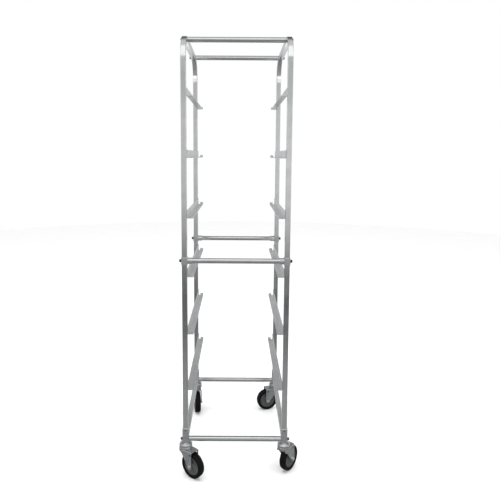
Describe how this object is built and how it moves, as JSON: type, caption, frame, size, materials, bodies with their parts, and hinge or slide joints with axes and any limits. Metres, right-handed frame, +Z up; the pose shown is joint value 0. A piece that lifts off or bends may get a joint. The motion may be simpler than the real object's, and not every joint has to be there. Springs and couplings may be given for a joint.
{
  "type": "sheet pan rack",
  "caption": "Tall open bakery rack: two bent tube side frames joined by cross bars, with facing angle runners for sheet pans, on swivel casters.",
  "frame": {"origin": "on the floor, under the middle of the footprint that the rack has with its casters as they stand; the point midway between the four legs is at x -0.020, y 0.023", "axes": "+Z up; -Y towards the front, where pans are slid in; +X to the right of someone facing the front"},
  "size_m": [0.608, 0.7476, 2.172],
  "materials": {
    "tube": "satin mill finish",
    "runner": "mill finish",
    "bar": "bright drawn finish",
    "cast": "cast, tumbled",
    "fastener": "dark zinc plate",
    "caster_metal": "bright zinc plate",
    "wheel": "black rubber tread on a dark grey core"
  },
  "bodies": {
    "rack": {"side_frame_left": "tube", "side_rail_left": "tube", "side_frame_right": "tube", "side_rail_right": "tube", "runner_1_left": "runner", "runner_1_right": "runner", "runner_2_left": "runner", "runner_2_right": "runner", "runner_3_left": "runner", "runner_3_right": "runner", "runner_4_left": "runner", "runner_4_right": "runner", "runner_5_left": "runner", "runner_5_right": "runner", "runner_6_left": "runner", "runner_6_right": "runner", "top_bar_front": "bar", "top_bar_rear": "bar", "middle_bar_front": "bar", "middle_bar_rear": "bar", "bottom_bar_front": "bar", "bottom_bar_rear": "bar", "saddle_front_left": "cast", "saddle_front_right": "cast", "saddle_rear_left": "cast", "saddle_rear_right": "cast", "bolt_top_front_left": "fastener", "bolt_top_front_right": "fastener", "bolt_top_rear_left": "fastener", "bolt_top_rear_right": "fastener", "bolt_middle_front_left": "fastener", "bolt_middle_front_right": "fastener", "bolt_middle_rear_left": "fastener", "bolt_middle_rear_right": "fastener", "bolt_bottom_front_left": "fastener", "bolt_bottom_front_right": "fastener", "bolt_bottom_rear_left": "fastener", "bolt_bottom_rear_right": "fastener", "leg_socket_front_left": "cast", "leg_socket_front_right": "cast", "leg_socket_rear_left": "cast", "leg_socket_rear_right": "cast", "caster_stem_front_left": "caster_metal", "caster_stem_front_right": "caster_metal", "caster_stem_rear_left": "caster_metal", "caster_stem_rear_right": "caster_metal"},
    "swivel_front_left": {"caster_fork_front_left": "caster_metal", "caster_axle_front_left": "fastener"},
    "wheel_front_left": {"caster_wheel_front_left": "wheel"},
    "swivel_front_right": {"caster_fork_front_right": "caster_metal", "caster_axle_front_right": "fastener"},
    "wheel_front_right": {"caster_wheel_front_right": "wheel"},
    "swivel_rear_left": {"caster_fork_rear_left": "caster_metal", "caster_axle_rear_left": "fastener"},
    "wheel_rear_left": {"caster_wheel_rear_left": "wheel"},
    "swivel_rear_right": {"caster_fork_rear_right": "caster_metal", "caster_axle_rear_right": "fastener"},
    "wheel_rear_right": {"caster_wheel_rear_right": "wheel"}
  },
  "joints": [
    {"name": "caster_swivel_front_left", "type": "hinge", "parent": "rack", "child": "swivel_front_left", "pos_m": [-0.2678, -0.2945, 0.139], "axis": [0, 0, 1], "continuous": true},
    {"name": "wheel_spin_front_left", "type": "hinge", "parent": "swivel_front_left", "child": "wheel_front_left", "pos_m": [-0.22998, -0.32405, 0.0635], "axis": [0.6157, 0.788, 0], "continuous": true},
    {"name": "caster_swivel_front_right", "type": "hinge", "parent": "rack", "child": "swivel_front_right", "pos_m": [0.2278, -0.2945, 0.139], "axis": [0, 0, 1], "continuous": true},
    {"name": "wheel_spin_front_right", "type": "hinge", "parent": "swivel_front_right", "child": "wheel_front_right", "pos_m": [0.25735, -0.25667, 0.0635], "axis": [-0.788, 0.6157, 0], "continuous": true},
    {"name": "caster_swivel_rear_left", "type": "hinge", "parent": "rack", "child": "swivel_rear_left", "pos_m": [-0.2678, 0.3405, 0.139], "axis": [0, 0, 1], "continuous": true},
    {"name": "wheel_spin_rear_left", "type": "hinge", "parent": "swivel_rear_left", "child": "wheel_rear_left", "pos_m": [-0.25947, 0.29323, 0.0635], "axis": [0.9848, 0.1736, 0], "continuous": true},
    {"name": "caster_swivel_rear_right", "type": "hinge", "parent": "rack", "child": "swivel_rear_right", "pos_m": [0.2278, 0.3405, 0.139], "axis": [0, 0, 1], "continuous": true},
    {"name": "wheel_spin_rear_right", "type": "hinge", "parent": "swivel_rear_right", "child": "wheel_rear_right", "pos_m": [0.18123, 0.32889, 0.0635], "axis": [0.2419, -0.9703, 0], "continuous": true}
  ]
}
